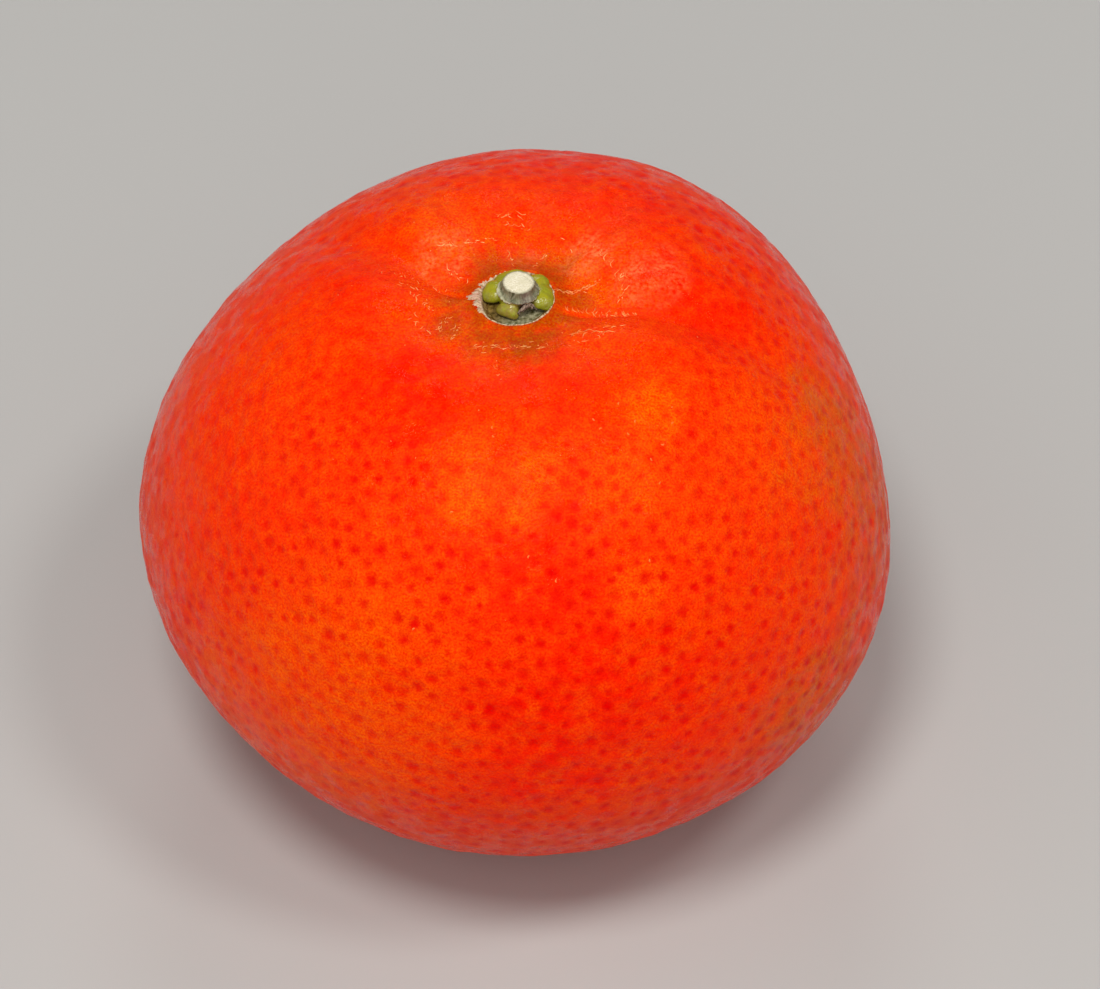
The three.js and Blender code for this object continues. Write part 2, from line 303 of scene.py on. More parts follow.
def finished(material, colour, normal, roughness, ior, specular=0.5, tint=None):
    """Ends a material in a glossy dielectric surface. Roughness is a socket or a number."""
    links = {"Base Color": colour, "Normal": normal}
    settings = {}
    if isinstance(roughness, float):
        settings["Roughness"] = roughness
    else:
        links["Roughness"] = roughness
    surface = add(material, "BsdfPrincipled", links, IOR=ior, Specular_IOR_Level=specular, **settings)
    if tint:
        surface.inputs["Specular Tint"].default_value = linear(tint)
    add(material, "OutputMaterial", {"Surface": surface.outputs["BSDF"]})
    return material


def only(thing):
    """Makes one object the selected and active one."""
    bpy.ops.object.select_all(action="DESELECT")
    thing.select_set(True)
    bpy.context.view_layer.objects.active = thing


def modified(thing, kind, **settings):
    """Adds a modifier with its settings and applies it."""
    only(thing)
    modifier = thing.modifiers.new(kind, kind)
    for name, value in settings.items():
        setattr(modifier, name, value)
    bpy.ops.object.modifier_apply(modifier=modifier.name)


def settle(thing):
    """Applies an object's place to its mesh, so that the object sits at the origin."""
    only(thing)
    bpy.ops.object.transform_apply(location=True, rotation=True, scale=True)


def set_on_core(thing, height, aside=Vector((0, 0, 0))):
    """Takes a piece that is modelled in millimetres round its own axis to its place on the fruit."""
    thing.scale = (MM, MM, MM)
    thing.location = CORE + Vector((0, 0, height)) + aside
    settle(thing)


def joined(name, things):
    """Makes one object of several."""
    only(things[0])
    for thing in things:
        thing.select_set(True)
    bpy.ops.object.join()
    whole = bpy.context.object
    whole.name = whole.data.name = name
    return whole


def dress(piece, node=None):
    """Hides the frame node that a piece stands for, if one is given, and fixes the piece to the fruit.
    """
    if node:
        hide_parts(node)
    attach(piece, "root")


def places(mesh):
    """The mesh's vertices as an array of rows."""
    flat = np.empty(len(mesh.vertices) * 3)
    mesh.vertices.foreach_get("co", flat)
    return flat.reshape(-1, 3)


def put_places(mesh, points):
    mesh.vertices.foreach_set("co", np.ascontiguousarray(points).ravel())
    mesh.update()


def outwards(mesh):
    """The normal at each of the mesh's vertices."""
    flat = np.empty(len(mesh.vertices) * 3)
    mesh.vertices.foreach_get("normal", flat)
    return flat.reshape(-1, 3)


def smooth(mesh):
    mesh.polygons.foreach_set("use_smooth", [True] * len(mesh.polygons))


def name_values(mesh, name, values):
    """Keeps one value for each vertex in the mesh, for its material to read."""
    mesh.attributes.new(name, "FLOAT", "POINT").data.foreach_set("value", values.astype(np.float32))


def ball(segments, rings):
    """A ball of radius 1 to be pressed into shape, and the places of its vertices."""
    bpy.ops.mesh.primitive_uv_sphere_add(segments=segments, ring_count=rings, radius=1)
    thing = bpy.context.object
    return thing, places(thing.data)


def round_axis(points, axis=(0, 0)):
    """How far each point is from an upright axis, and its azimuth round it."""
    right, back = points[:, 0] - axis[0], points[:, 1] - axis[1]
    return np.hypot(right, back), np.arctan2(back, right)


def swung(along, across, azimuth):
    """X and Y of what is so far along an azimuth and so far across it."""
    return (along * np.cos(azimuth) - across * np.sin(azimuth),
            along * np.sin(azimuth) + across * np.cos(azimuth))


def turn_from(azimuth, middle):
    """How far each azimuth is from another, the short way round."""
    return np.angle(np.exp(1j * (azimuth - middle)))


def hill(values, width):
    """1 at zero, and a smooth fall to nothing at about twice the width."""
    return np.exp(-((values / width) ** 2))


def step(values, low, high):
    """0 below low, 1 above high, and a smooth rise between."""
    share = np.clip((values - low) / (high - low), 0, 1)
    return share * share * (3 - 2 * share)


def lumps(points, size, seed, octaves=3):
    """Smooth noise at each point, about -1 to 1, with lumps of about the given size."""
    shift = Vector((seed * 7.3, seed * 3.1, seed * 5.7))
    return np.array([
        noise.fractal(Vector(p) / size + shift, 0.8, 2.1, octaves, noise_basis="PERLIN_ORIGINAL")
        for p in points
    ])


def round_lumps(azimuth, away, grain, stretch, seed):
    """Noise that runs in spokes: lumps of about grain (radians) across and stretch long."""
    spokes = np.stack([np.cos(azimuth), np.sin(azimuth), away * grain / stretch], axis=1)
    return lumps(spokes, grain, seed)


def turned(rings, sides):
    """A solid of rings, each a radius and a height in millimetres: a round face is extruded up from
    one ring to the next."""
    radius, height = rings[0]
    bpy.ops.mesh.primitive_circle_add(vertices=sides, radius=radius, fill_type="NGON",
                                      location=(0, 0, height))
    solid = bpy.context.object
    settle(solid)
    bpy.ops.object.mode_set(mode="EDIT")
    bpy.ops.mesh.select_all(action="SELECT")
    for wider, higher in rings[1:]:
        bpy.ops.mesh.extrude_region_move(TRANSFORM_OT_translate={"value": (0, 0, higher - height)})
        bpy.ops.transform.resize(value=(wider / radius, wider / radius, 1),
                                 center_override=(0, 0, higher))
        radius, height = wider, higher
    bpy.ops.mesh.select_all(action="SELECT")
    bpy.ops.mesh.normals_make_consistent(inside=False)
    bpy.ops.object.mode_set(mode="OBJECT")
    return solid


# The peel


def smooth_fruit():
    """A smoothed copy of the frame's fruit, which the skin is wrapped on."""
    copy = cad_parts["fruit"].copy()
    copy.data = copy.data.copy()
    bpy.context.collection.objects.link(copy)
    copy.parent = None
    copy.hide_viewport = copy.hide_render = False
    only(copy)
    bpy.ops.object.mode_set(mode="EDIT")
    bpy.ops.mesh.select_all(action="SELECT")
    bpy.ops.mesh.remove_doubles(threshold=0.005 * MM)
    bpy.ops.mesh.tris_convert_to_quads(face_threshold=math.radians(40),
                                       shape_threshold=math.radians(60))
    bpy.ops.object.mode_set(mode="OBJECT")
    modified(copy, "SUBSURF", levels=2)
    return copy


def refine_round_stalk(skin, inside, outside):
    """Splits each face at the top of the ball between two distances from the core into four."""
    only(skin)
    bpy.ops.object.mode_set(mode="EDIT")
    bpy.ops.mesh.select_mode(type="FACE")
    bpy.ops.mesh.select_all(action="DESELECT")
    bpy.ops.object.mode_set(mode="OBJECT")
    for face in skin.data.polygons:
        away = math.hypot(face.center.x - CORE.x, face.center.y - CORE.y)
        face.select = face.center.z > MIDDLE.z and inside < away < outside
    bpy.ops.object.mode_set(mode="EDIT")
    bpy.ops.mesh.subdivide(number_cuts=1)
    bpy.ops.object.mode_set(mode="OBJECT")


def evenly_quadded_ball():
    """A ball of small quads of nearly one size, with finer ones round the stalk."""
    bpy.ops.mesh.primitive_cube_add(size=2 * FRUIT_RADIUS, location=MIDDLE)
    skin = bpy.context.object
    settle(skin)
    modified(skin, "SUBSURF", levels=2)
    bpy.ops.object.mode_set(mode="EDIT")
    bpy.ops.mesh.select_all(action="SELECT")
    bpy.ops.mesh.subdivide(number_cuts=6)
    bpy.ops.object.mode_set(mode="OBJECT")
    modified(skin, "SUBSURF", levels=2)
    points = places(skin.data) - np.array(MIDDLE)
    points *= 0.9 * FRUIT_RADIUS / np.linalg.norm(points, axis=1)[:, None]
    put_places(skin.data, points + np.array(MIDDLE))
    refine_round_stalk(skin, 0, 7 * MM)
    refine_round_stalk(skin, 2.2 * MM, 4.3 * MM)
    return skin


def gland_places(target, count):
    """Middles of the oil glands: a spiral of even points on the ball, jittered, pushed apart and
    wrapped on the fruit."""
    draw = np.random.default_rng(11)
    index = np.arange(count) + 0.5
    height = 1 - 2 * index / count
    turn = index * math.pi * (3 - math.sqrt(5))
    across = np.sqrt(1 - height ** 2)
    points = np.stack([across * np.cos(turn), across * np.sin(turn), height], axis=1)
    gap = math.sqrt(4 * math.pi / count)
    points += draw.normal(0, GLAND_JITTER * gap, points.shape)
    points /= np.linalg.norm(points, axis=1)[:, None]
    for _ in range(4):
        tree = tree_of(points)
        pushed = points.copy()
        for i, p in enumerate(points):
            for near, j, far in tree.find_range(p, gap):
                if j != i and far > 0:
                    pushed[i] += (p - np.array(near)) / far * (gap - far) * 0.25
        points = pushed / np.linalg.norm(pushed, axis=1)[:, None]
    surface = BVHTree.FromObject(target, bpy.context.evaluated_depsgraph_get())
    return np.array([surface.ray_cast(MIDDLE, Vector(p))[0] for p in points])


def tree_of(points):
    """The points in a tree that finds the nearest ones."""
    tree = KDTree(len(points))
    for i, p in enumerate(points):
        tree.insert(p, i)
    tree.balance()
    return tree


def towards(azimuth, polar):
    """The direction at an azimuth from +X and an angle down from the stalk, in degrees."""
    turn, down = math.radians(azimuth), math.radians(polar)
    across = math.sin(down)
    return np.array([across * math.cos(turn), across * math.sin(turn), math.cos(down)])


def zone_values(points, feature):
    """How far each point of the skin lies in the zones of one feature, their edges ragged."""
    out = points - np.array(MIDDLE)
    out /= np.linalg.norm(out, axis=1)[:, None]
    ragged = 0.45 * lumps(points, 4 * MM, 21, 4)
    outside = np.ones(len(points))
    for azimuth, polar, reach, strength in ZONES[feature]:
        away = np.arccos(np.clip(out @ towards(azimuth, polar), -1, 1)) * FRUIT_RADIUS / MM
        outside *= 1 - strength * (1 - step(away / reach + ragged, 0.2, 1.15))
    return 1 - outside


def edge_at(azimuth):
    """The radius of the socket's edge at each azimuth, a little ragged."""
    smooth_edge = np.interp(np.degrees(azimuth), EDGE_AZIMUTHS, EDGE_RADII) * MM
    return smooth_edge + 0.04 * MM * round_lumps(azimuth, 0 * azimuth, 0.2, 1, 35)


def draw_socket_in(points):
    """Moves the skin round the socket inwards, so that its edge comes where the real one is, and
    raises it to a low lip there."""
    beside = points[:, :2] - np.array(CORE)[:2]
    away, azimuth = round_axis(points, CORE)
    pull = SOCKET_EDGE - edge_at(azimuth)
    share = np.where(away < SOCKET_EDGE, away / SOCKET_EDGE, 1 - step(away, SOCKET_EDGE, 5.5 * MM))
    share = np.where(points[:, 2] > MIDDLE.z, share, 0)
    points[:, :2] -= beside / np.maximum(away, 1e-9)[:, None] * (pull * share)[:, None]
    lip = SOCKET_LIP * hill(away - SOCKET_EDGE, 0.7 * MM)
    points[:, 2] += np.where(points[:, 2] > MIDDLE.z, lip, 0)
    return points


def peel():
    """The skin: a fine ball wrapped on the fruit, with undulations, pits over the oil glands and
    wrinkles round the stalk, all real relief."""
    target = smooth_fruit()
    skin = evenly_quadded_ball()
    skin.name = skin.data.name = "peel"
    modified(skin, "SHRINKWRAP", target=target, wrap_method="PROJECT",
             use_negative_direction=True, use_positive_direction=True)
    mesh = skin.data
    smooth(mesh)
    put_places(mesh, draw_socket_in(places(mesh)))

    area = sum(face.area for face in mesh.polygons)
    glands = gland_places(target, round(area / (ROOM_IN_ROWS * GLAND_SPACING ** 2)))
    bpy.data.objects.remove(target)
    tree = tree_of(glands)
    draw = np.random.default_rng(5)
    size = np.clip(draw.normal(1, 0.18, len(glands)), 0.6, 1.3)

    points = places(mesh)
    nearest = [tree.find(p) for p in points]
    away = np.array([found[2] for found in nearest])
    own = np.array([found[1] for found in nearest])
    from_core, azimuth = round_axis(points, CORE)
    upper = points[:, 2] > MIDDLE.z
    crown = np.where(upper, 1 - step(from_core, GLANDS_GONE_AT, GLANDS_FADE_FROM), 0)
    clear_of_socket = np.where(upper, step(from_core, 3.5 * MM, 5.5 * MM), 1)
    clear_of_floor = step(points[:, 2], 0.05 * MM, 1.5 * MM)

    pits = GLAND_DEPTH * size[own] * hill(away, 0.95 * GLAND_RADIUS * size[own])
    pits *= 1 - 0.75 * crown
    swells = 0.11 * MM * lumps(points, 9 * MM, 1) + 0.07 * MM * lumps(points, 2.2 * MM, 2)
    spokes = round_lumps(azimuth, from_core, 0.16, 7 * MM, 3)
    wrinkles = 0.08 * MM * spokes * crown * step(from_core, 3.4 * MM, 6 * MM)
    creases = np.where(upper, crease_depth(from_core, azimuth), 0)
    moved = (swells - pits + wrinkles) * clear_of_socket * clear_of_floor - creases
    put_places(mesh, points + outwards(mesh) * moved[:, None])

    colour_zones(mesh, points, from_core, azimuth, upper)
    lay_gland_map(mesh, glands, tree, size)
    mesh.materials.append(citrus_peel())
    return skin


def crease_depth(from_core, azimuth):
    """How deep the two sharp creases are at each point of the crown."""
    depth = np.zeros(len(azimuth))
    for aways, azimuths in CREASES:
        course = np.interp(from_core / MM, aways, np.unwrap(np.radians(azimuths)))
        beside = turn_from(azimuth, course) * from_core
        fade = step(from_core / MM, aways[0], aways[0] + 1)
        fade *= 1 - step(from_core / MM, CREASES_FADE_FROM, aways[-1])
        depth += CREASE_DEPTH * fade * hill(beside, CREASE_WIDTH)
    return depth


def colour_zones(mesh, points, from_core, azimuth, upper):
    """Keeps in the mesh where the rind is redder, more golden (on the front partly a painted
    highlight), greener or streaked, where pale bloom lies on the ridges round the stalk (partly a
    painted highlight), and where the socket's dark inside is (its lining, darkened as painted shade)."""
    for feature in ("deep_red", "gold", "amber"):
        name_values(mesh, feature, zone_values(points, feature))
    spokes = round_lumps(azimuth, from_core, 0.11, 5 * MM, 8)
    threads = round_lumps(azimuth, from_core, 0.07, 3 * MM, 10)
    # The ridges' pale patches, part wax bloom and part painted highlight, broken into threads and
    # specks
    sheen_breakup = np.clip(0.5 + 0.5 * threads + 0.6 * lumps(points, 1.1 * MM, 12), 0, 1)
    name_values(mesh, "bloom", zone_values(points, "bloom") * sheen_breakup)
    wavy = from_core + 1.6 * MM * round_lumps(azimuth, from_core, 0.5, 30 * MM, 9)
    collar = np.where(upper, 1 - step(wavy, 3.6 * MM, 7.5 * MM), 0)
    name_values(mesh, "olive", np.maximum(zone_values(points, "olive"), 0.8 * collar))
    streaked = np.where(upper, 1 - step(from_core, 5 * MM, 11 * MM), 0)
    name_values(mesh, "streak", np.clip(0.3 + 1.4 * spokes, 0, 1) * streaked)
    # The socket's inside: a brown corky lining, darkened as painted shade of the recess
    inside = np.where(upper, 1 - step(from_core - edge_at(azimuth), -0.05 * MM, 0.02 * MM), 0)
    name_values(mesh, "socket", inside)


def lay_gland_map(mesh, glands, tree, size):
    """Gives each face the place of its corners about the nearest gland, in gland radii, as a UV map,
    and how much that gland shows as an attribute, so that the pattern follows the pits."""
    faces, corners = len(mesh.polygons), len(mesh.loops)
    middles = np.empty(faces * 3)
    totals = np.empty(faces, dtype=int)
    corner_vertex = np.empty(corners, dtype=int)
    mesh.polygons.foreach_get("center", middles)
    mesh.polygons.foreach_get("loop_total", totals)
    mesh.loops.foreach_get("vertex_index", corner_vertex)
    own = np.array([tree.find(p)[1] for p in middles.reshape(-1, 3)])
    gland = np.repeat(own, totals)
    away = (places(mesh)[corner_vertex] - glands[gland]) / (GLAND_RADIUS * size[gland])[:, None]
    out = glands[gland] - np.array(MIDDLE)
    out /= np.linalg.norm(out, axis=1)[:, None]
    side = np.cross(out, [0.3, 0.2, 0.93])
    side /= np.linalg.norm(side, axis=1)[:, None]
    ahead = np.cross(out, side)
    flat = np.stack([(away * side).sum(axis=1), (away * ahead).sum(axis=1)], axis=1)
    offsets = mesh.uv_layers.new(name="from_gland")
    offsets.uv.foreach_set("vector", flat.astype(np.float32).ravel())

    from_core = round_axis(glands, CORE)[0]
    crown = np.where(glands[:, 2] > MIDDLE.z, 1 - step(from_core, GLANDS_GONE_AT, GLANDS_FADE_FROM), 0)
    draw = np.random.default_rng(7)
    shows = draw.uniform(0.6, 1, len(glands)) * (1 - 0.9 * crown)
    # Fewer gland spots on the sides, and washed out at the softboxes' reflections as a painted
    # highlight
    shows *= 1 - zone_values(glands, "faint_glands_and_highlight")
    shown = mesh.attributes.new("gland_shows", "FLOAT", "FACE")
    shown.data.foreach_set("value", shows[own].astype(np.float32))


def citrus_peel():
    """Ripe mandarin peel, grown: thin wax over red-orange rind. The wax gives a soft satin gloss that
    comes and goes in patches, the full oil glands show as redder spots, and the rind between them is
    lighter orange. It yellows to amber where the sun didn't reach, and to olive round the stalk."""
    material = bare_material("ripe_citrus_peel")
    patches = mottling(material, 10, 0.36, 0.66)
    breakup = mottling(material, 1.5, 0.25, 0.55, 5)
    clouds = mottling(material, 1.3, 0.35, 0.68, 4)
    blotches = mottling(material, 0.9, 0.5, 0.68, 4)
    fine = mottling(material, 0.17, 0.32, 0.68, 2)

    colour = blended(material, "#fb3800", "#fb4a00", patches)
    colour = blended(material, colour, "#fc6000", times(material, clouds, 0.6))
    colour = blended(material, colour, "#f81c00", times(material, blotches, 0.35))
    red = times(material, "deep_red", breakup)
    colour = blended(material, colour, "#fb1c00", red)
    # Golden orange: the rind's own tone, and on the front a painted highlight
    gold = times(material, "gold", breakup)
    colour = blended(material, colour, "#fc6c00", gold)
    amber = times(material, "amber", breakup)
    colour = blended(material, colour, "#de6a00", amber)
    streaks = times(material, "streak", 0.75)
    colour = blended(material, colour, "#ec6c00", streaks)
    olive = times(material, "olive", mottling(material, 1.2, 0.1, 0.55))
    colour = blended(material, colour, "#b05400", olive)

    offset = add(material, "UVMap", uv_map="from_gland").outputs["UV"]
    offset = jogged(material, offset, 0.5, 1.1)
    far = add(material, "VectorMath", {0: offset}, operation="LENGTH").outputs["Value"]
    spot = add(material, "MapRange", {"Value": far}, interpolation_type="SMOOTHSTEP",
               From_Min=0.15, From_Max=1.3, To_Min=1, To_Max=0).outputs["Result"]
    glands = times(material, spot, "gland_shows")
    colour = blended(material, colour, "#ee2424", glands, "MULTIPLY")
    colour = blended(material, colour, "#f48484", fine, "MULTIPLY")

    # Pale pinkish orange on the ridges round the stalk: wax bloom and a painted highlight
    specks = mottling(material, 0.3, 0.36, 0.64, 4)
    bloom = times(material, "bloom", specks)
    colour = blended(material, colour, "#fb8a50", times(material, bloom, 0.8))
    # Dark brown inside the socket: its lining, and painted shade in the recess
    colour = blended(material, colour, "#5a3812", "socket")

    dimples = bumped(material, glands, 0.5, -0.05)
    swells = bumped(material, mottling(material, 1.7, 0.3, 0.7, 2), 0.5, 0.14, dimples)
    pebbles = bumped(material, mottling(material, 0.6, 0.3, 0.7, 3), 0.5, 0.06, swells)
    grain = bumped(material, fine, 0.5, 0.045, pebbles)
    scuffs = mottling(material, 2.0, 0.42, 0.56, 4)
    gloss = add(material, "MapRange", {"Value": scuffs}, To_Min=0.13, To_Max=0.45).outputs["Result"]
    return finished(material, colour, grain, gloss, 1.4, 0.14, "#ffb874")


# The corky edge of the socket, and the scars round it


def skin_at(surface, away, azimuth):
    """Place and normal of the skin at a distance from the core and an azimuth."""
    above = CORE + Vector((away * math.cos(azimuth), away * math.sin(azimuth), 2 * FRUIT_HIGH.z))
    place, normal = surface.ray_cast(above, Vector((0, 0, -1)))[:2]
    return place, normal


def socket_rim(surface):
    """The socket's corky edge: a ring pressed to a ragged ribbon. It is a thin cream line on the skin's
    edge but where the cork has spread, ribbed like torn fibres, and falls off inwards as the wall."""
    bpy.ops.mesh.primitive_torus_add(major_radius=CORK_RADIUS, minor_radius=CORK_SECTION,
                                     major_segments=256, minor_segments=48)
    ring = bpy.context.object
    ring.name = ring.data.name = "socket_rim"
    mesh = ring.data
    points = places(mesh)
    away, azimuth = round_axis(points)
    lean = (away - CORK_RADIUS) / CORK_SECTION
    above = points[:, 2] / CORK_SECTION

    from_patch = np.degrees(turn_from(azimuth, math.radians(CORK_PATCH_AZIMUTH)))
    patch = hill(from_patch, CORK_PATCH_SPREAD)
    tip = hill(from_patch, CORK_TIP_SPREAD)
    spread = round_lumps(azimuth, 0 * azimuth, 0.35, 1, 31)
    tufts = round_lumps(azimuth, 0 * azimuth, 0.13, 1, 36)
    spikes = round_lumps(azimuth, 0 * azimuth, 0.05, 1, 32)
    ragged = 0.42 + 0.16 * spikes + 0.5 * tufts + 0.3 * spread
    reach = 0.06 * spread + 0.08 * spikes + patch * ragged + 0.75 * tip
    edge = edge_at(azimuth)
    outer = edge + (0.08 + np.maximum(reach, -0.04)) * MM
    inner = edge - CORK_INWARDS
    away = inner + (lean + 1) / 2 * (outer - inner)

    fibre = round_lumps(azimuth, away, 0.035, 2.5 * MM, 33)
    ripple = lumps(np.stack([*swung(away, 0, azimuth), 0 * away], axis=1), 0.35 * MM, 34)
    proud = (0.03 + 0.02 * fibre + 0.02 * spread + patch * (0.02 + 0.03 * fibre)) * MM
    within = np.clip((edge - 0.07 * MM - away) / (0.6 * MM), 0, 1)
    fall = CORK_FALL * within ** 0.7 + 0.05 * MM * ripple * np.sqrt(within)
    thickness = (0.06 + 0.06 * within) * MM
    on_skin = np.maximum(away, edge + 0.06 * MM)
    skin = np.array([skin_at(surface, *polar)[0].z for polar in zip(on_skin, azimuth)])
    points[:, 0], points[:, 1] = swung(away, 0, azimuth)
    points[:, :2] += np.array(CORE)[:2]
    points[:, 2] = skin + proud - fall + (above - 1) * thickness
    put_places(mesh, points)
    smooth(mesh)
    name_values(mesh, "fibre", np.clip(0.42 + 1.2 * fibre + 0.5 * ripple, 0, 1))
    name_values(mesh, "worn", np.clip(patch, 0, 1))
    # Inwards into the socket, where the cork darkens: partly its colour, partly painted shade
    name_values(mesh, "within", step(within, 0.02, 0.25))
    mesh.materials.append(cork())
    return ring


def cork():
    """Cork grown over a wound, dry and matt. It gives pale beige fibres with brown between them, and
    darkens to olive brown where it goes down into the socket, partly its own colour and partly painted
    shade of the recess."""
    material = bare_material("dry_cork")
    colour = blended(material, "#865c30", "#d6b88c", "fibre")
    flakes = mottling(material, 0.2, 0.4, 0.68, 4)
    colour = blended(material, colour, "#eedcc6", times(material, flakes, 0.5))
    blush = times(material, "worn", mottling(material, 0.5, 0.35, 0.7))
    colour = blended(material, colour, "#d89c90", times(material, blush, 0.6))
    # Olive brown down in the socket: the cork's colour and painted shade of the recess
    shaded_depths = blended(material, "#6c4612", "#a08650", mottling(material, 0.3, 0.42, 0.66, 4))
    colour = blended(material, colour, shaded_depths, "within")
    grain = bumped(material, flakes, 0.5, 0.05)
    return finished(material, colour, grain, 0.7, 1.45, 0.3)


def scar(length, width, seed):
    """One scar: a ball pressed to a thin sliver that wanders a little, in millimetres."""
    sliver, points = ball(14, 4)
    bend = 0.22 * math.sin(seed * 12.9) * length
    wander = 0.05 * length * np.sin(4 * points[:, 0] + seed)
    points[:, 1] = points[:, 1] * width / 2 + bend * points[:, 0] ** 2 + wander
    points[:, 0] *= length / 2
    points[:, 2] *= 0.03
    put_places(sliver.data, points)
    smooth(sliver.data)
    return sliver


def place_scar(model, surface, away, azimuth, turn, size, pale):
    """A copy of a scar, with a mesh of its own, laid on the skin and turned from its tangent."""
    place, normal = skin_at(surface, away, azimuth)
    across = Vector((-math.sin(azimuth), math.cos(azimuth), 0))
    out = across.cross(normal).normalized()
    across = normal.cross(out)
    ahead = across * math.cos(turn) + out * math.sin(turn)
    beside = normal.cross(ahead)
    copy = bpy.data.objects.new("scar", model.data.copy())
    bpy.context.collection.objects.link(copy)
    points = places(copy.data) * size * MM
    axes = np.array([ahead, beside, normal])
    put_places(copy.data, points @ axes + np.array(place + normal * 0.003 * MM))
    name_values(copy.data, "pale", np.full(len(points), pale))
    return copy


def scars_and_glint_flecks(surface):
    """Fine pale scars on the crown, in broken lines round the stalk and along its furrows, and lone
    pale flecks on the front that are painted glints.
    """
    draw = np.random.default_rng(23)
    models = [scar(length, width, i + 1) for i, (length, width) in enumerate(SCAR_SIZES)]
    scars = []
    for azimuth, away, last_azimuth, last_away, count, turned_by in SCAR_LINES:
        arc = math.radians(last_azimuth - azimuth)
        arc = (arc + math.pi) % (2 * math.pi) - math.pi
        way = math.atan2(last_away - away, arc * (away + last_away) / 2)
        for i in range(count):
            share = (i + draw.uniform(-0.3, 0.3)) / max(count - 1, 1)
            here = (away + share * (last_away - away) + draw.normal(0, 0.2)) * MM
            at = math.radians(azimuth) + share * arc + draw.normal(0, 0.02)
            turn = way + math.radians(turned_by + draw.normal(0, 28))
            size = draw.uniform(0.35, 1.0)
            model = models[draw.integers(len(models))]
            pale = draw.uniform(0.2, 1)
            scars.append(place_scar(model, surface, here, at, turn, size, pale))
    # Painted glints: short pale slivers where small glints fall on the front of the crown
    for azimuth, away in GLINT_FLECKS:
        at = math.radians(azimuth)
        turn = draw.uniform(0, math.pi)
        scars.append(place_scar(models[SHORT_SCAR], surface, away * MM, at, turn, 1.1, 0.15))
    for _ in range(STRAY_SCARS):
        here = draw.uniform(4.5, 17) * MM
        at = draw.uniform(-math.pi, math.pi)
        size = draw.uniform(0.3, 0.6)
        turn = draw.uniform(0, math.pi)
        pale = draw.uniform(0.1, 0.7)
        scars.append(place_scar(models[SHORT_SCAR], surface, here, at, turn, size, pale))
    for model in models:
        bpy.data.objects.remove(model)
    flecks = joined("scars_and_glint_flecks", scars)
    flecks.data.materials.append(dry_scar())
    return flecks


def dry_scar():
    """Healed scratches in the skin, dry and corky. They show light orange to straw yellow."""
    material = bare_material("healed_scratch")
    pale = times(material, "pale", mottling(material, 0.4, 0.25, 0.6))
    colour = blended(material, "#ee6a1c", "#f4c47c", pale)
    grain = bumped(material, mottling(material, 0.1, 0.3, 0.7), 0.3, 0.02)
    return finished(material, colour, grain, 0.7, 1.45, 0.15)


# The calyx


def lobe(azimuth, tip, width, droop):
    """One sepal: a ball pressed to a plump tongue with a blunt end, which widens outwards, its tip and
    its sides bent down over the socket."""
    sepal, points = ball(40, 24)
    points[:, :2] = np.sign(points[:, :2]) * np.abs(points[:, :2]) ** LOBE_BLUNTNESS
    share = (1 + points[:, 0]) / 2
    side = points[:, 1] * (0.82 + 0.26 * share)
    layer = LOBE_CREST - droop * share ** 2 - 0.32 * side ** 2
    along = LOBE_ROOT_RADIUS + share * (tip - LOBE_ROOT_RADIUS)
    across = side * width / 2
    points[:, 0], points[:, 1] = swung(along, across, math.radians(azimuth))
    points[:, 2] = layer + points[:, 2] * LOBE_THICKNESS / 2
    put_places(sepal.data, points)
    return sepal


def calyx():
    """The green star: five plump sepals round a hub, on a disc that fills the socket, grown together.
    A sixth is torn off: its place on the hub is a brown hollow."""
    disc = turned(DISC_OUTLINE, 64)
    hub = turned([(1.3, 0.2), (1.4, 0.8), (1.45, 1.4), (1.5, CALYX_HUB_TOP + 0.25),
                  (1.35, CALYX_HUB_TOP + 0.45)], 64)
    star = joined("calyx", [disc, hub] + [lobe(**course) for course in LOBES])
    modified(star, "REMESH", mode="VOXEL", voxel_size=CALYX_VOXEL)
    modified(star, "SMOOTH", factor=0.5, iterations=6)
    mesh = star.data
    smooth(mesh)
    points = places(mesh)
    away, azimuth = round_axis(points)
    from_tear = turn_from(azimuth, TORN_AZIMUTH)
    torn = np.exp(-((from_tear / 0.45) ** 4)) * step(away, 1.0, 1.2) * (1 - step(away, 1.8, 2.0))
    torn *= step(points[:, 2], 0.5, 0.8)
    hollow = 0.3 * torn * (1 - step(points[:, 2], 1.3, 1.7))
    uneven = 0.07 * lumps(points, 1.3, 41) + 0.012 * lumps(points, 0.4, 42)
    points += outwards(mesh) * uneven[:, None]
    points[:, :2] *= (1 - hollow / np.maximum(away, 1))[:, None]
    put_places(mesh, points)

    # Downward-facing undersides of the lobes turn brown: dry edges and painted shade under the lobes
    edges = step(-outwards(mesh)[:, 2], -0.15, 0.5) * step(away, 1.6, 2.2)
    name_values(mesh, "dried", np.clip(1.2 * torn + 0.8 * edges + 0.25 * lumps(points, 0.25, 43), 0, 1))
    name_values(mesh, "disc", 1 - step(points[:, 2], 0.56, 0.72))
    name_values(mesh, "damp", step(np.cos(azimuth - TORN_AZIMUTH), 0.1, 0.8))
    tanned = step(np.cos(azimuth - TANNED_AZIMUTH), 0.75, 0.9) + 0.3 * lumps(points, 0.4, 45)
    name_values(mesh, "tanned", np.clip(tanned, 0, 1))
    # Higher is lighter and yellower: partly the sepal's tone, partly painted light on top and painted
    # shade below
    crest = step(points[:, 2], 0.9, 1.8) + 0.3 * lumps(points, 0.7, 44)
    name_values(mesh, "crest", np.clip(crest, 0, 1))
    mesh.materials.append(waxy_sepal())
    set_on_core(star, SOCKET_FLOOR, CALYX_ASIDE)
    return star


